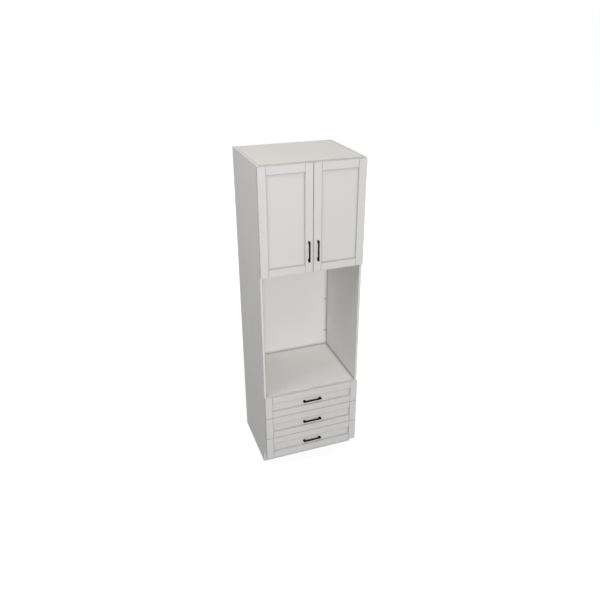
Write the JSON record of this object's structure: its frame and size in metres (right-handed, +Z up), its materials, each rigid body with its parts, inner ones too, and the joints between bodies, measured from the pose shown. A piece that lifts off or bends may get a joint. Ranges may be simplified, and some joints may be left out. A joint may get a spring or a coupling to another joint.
{
  "type": "tall oven housing unit",
  "caption": "Tall frameless kitchen cabinet with a framed double-door cupboard above an open oven cavity and a stack of full-extension drawers with bar handles below.",
  "frame": {"origin": "on the floor, under the middle of the cabinet's bounding box", "axes": "+X to the right seen from the front, doors and drawers face -Y, +Z up"},
  "size_m": [0.762, 0.661, 2.438],
  "materials": {
    "painted_front": "satin off-white paint on solid wood frames",
    "carcass_board": "off-white matt finish on board",
    "birch_ply": "clear lacquer on birch plywood",
    "handle_black": "matt black powder coat",
    "runner_steel": "bright zinc plate",
    "screw_steel": "zinc plated",
    "hinge_nickel": "nickel plate",
    "clip_plastic": "moulded grey plastic"
  },
  "bodies": {
    "cabinet": {"left_side_panel": "carcass_board", "right_side_panel": "carcass_board", "top_panel": "carcass_board", "upper_fixed_shelf": "carcass_board", "adjustable_shelf": "carcass_board", "shelf_pins": "hinge_nickel", "oven_shelf": "carcass_board", "bottom_panel": "carcass_board", "back_panel": "carcass_board", "back_clips": "clip_plastic", "wall_rail": "carcass_board", "toe_kick_board": "carcass_board", "cam_fittings": "runner_steel", "hinge_arms": "hinge_nickel", "drawer_1_outer_runners": "runner_steel", "drawer_2_outer_runners": "runner_steel", "drawer_3_outer_runners": "runner_steel"},
    "left_hinge_link_pair": {"left_hinge_links": "hinge_nickel"},
    "left_door": {"left_door_hinge_stile": "painted_front", "left_door_meeting_stile": "painted_front", "left_door_rails": "painted_front", "left_door_panel": "painted_front", "left_door_handle": "handle_black", "left_door_handle_screws": "screw_steel", "left_door_hinge_cups": "hinge_nickel"},
    "right_hinge_link_pair": {"right_hinge_links": "hinge_nickel"},
    "right_door": {"right_door_hinge_stile": "painted_front", "right_door_meeting_stile": "painted_front", "right_door_rails": "painted_front", "right_door_panel": "painted_front", "right_door_handle": "handle_black", "right_door_handle_screws": "screw_steel", "right_door_hinge_cups": "hinge_nickel"},
    "drawer_1": {"drawer_1_front_stiles": "painted_front", "drawer_1_front_rails": "painted_front", "drawer_1_front_panel": "painted_front", "drawer_1_handle": "handle_black", "drawer_1_handle_screws": "screw_steel", "drawer_1_box_walls": "birch_ply", "drawer_1_box_bottom": "birch_ply", "drawer_1_inner_runners": "runner_steel"},
    "drawer_1_middle_members": {"drawer_1_middle_runners": "runner_steel"},
    "drawer_2": {"drawer_2_front_stiles": "painted_front", "drawer_2_front_rails": "painted_front", "drawer_2_front_panel": "painted_front", "drawer_2_handle": "handle_black", "drawer_2_handle_screws": "screw_steel", "drawer_2_box_walls": "birch_ply", "drawer_2_box_bottom": "birch_ply", "drawer_2_inner_runners": "runner_steel"},
    "drawer_2_middle_members": {"drawer_2_middle_runners": "runner_steel"},
    "drawer_3": {"drawer_3_front_stiles": "painted_front", "drawer_3_front_rails": "painted_front", "drawer_3_front_panel": "painted_front", "drawer_3_handle": "handle_black", "drawer_3_handle_screws": "screw_steel", "drawer_3_box_walls": "birch_ply", "drawer_3_box_bottom": "birch_ply", "drawer_3_inner_runners": "runner_steel"},
    "drawer_3_middle_members": {"drawer_3_middle_runners": "runner_steel"}
  },
  "joints": [
    {"name": "left_link_swing", "type": "hinge", "parent": "cabinet", "child": "left_hinge_link_pair", "pos_m": [-0.351, -0.2775, 2.051], "axis": [0, 0, 1], "range_deg": [0, 45]},
    {"name": "left_door_swing", "type": "hinge", "parent": "left_hinge_link_pair", "child": "left_door", "pos_m": [-0.37, -0.2915, 2.051], "axis": [0, 0, -1], "range_deg": [0, 155]},
    {"name": "right_link_swing", "type": "hinge", "parent": "cabinet", "child": "right_hinge_link_pair", "pos_m": [0.351, -0.2775, 2.051], "axis": [0, 0, -1], "range_deg": [0, 45]},
    {"name": "right_door_swing", "type": "hinge", "parent": "right_hinge_link_pair", "child": "right_door", "pos_m": [0.37, -0.2915, 2.051], "axis": [0, 0, 1], "range_deg": [0, 155]},
    {"name": "drawer_1_slide", "type": "slide", "parent": "cabinet", "child": "drawer_1", "axis": [0, -1, 0], "range_m": [0, 0.52]},
    {"name": "drawer_1_runner_slide", "type": "slide", "parent": "cabinet", "child": "drawer_1_middle_members", "axis": [0, -1, 0], "range_m": [0, 0.26]},
    {"name": "drawer_2_slide", "type": "slide", "parent": "cabinet", "child": "drawer_2", "axis": [0, -1, 0], "range_m": [0, 0.52]},
    {"name": "drawer_2_runner_slide", "type": "slide", "parent": "cabinet", "child": "drawer_2_middle_members", "axis": [0, -1, 0], "range_m": [0, 0.26]},
    {"name": "drawer_3_slide", "type": "slide", "parent": "cabinet", "child": "drawer_3", "axis": [0, -1, 0], "range_m": [0, 0.52]},
    {"name": "drawer_3_runner_slide", "type": "slide", "parent": "cabinet", "child": "drawer_3_middle_members", "axis": [0, -1, 0], "range_m": [0, 0.26]}
  ],
  "couplings": [
    {"joint": "left_link_swing", "follows": "left_door_swing", "ratio": 0.29},
    {"joint": "right_link_swing", "follows": "right_door_swing", "ratio": 0.29},
    {"joint": "drawer_1_runner_slide", "follows": "drawer_1_slide", "ratio": 0.5},
    {"joint": "drawer_2_runner_slide", "follows": "drawer_2_slide", "ratio": 0.5},
    {"joint": "drawer_3_runner_slide", "follows": "drawer_3_slide", "ratio": 0.5}
  ]
}
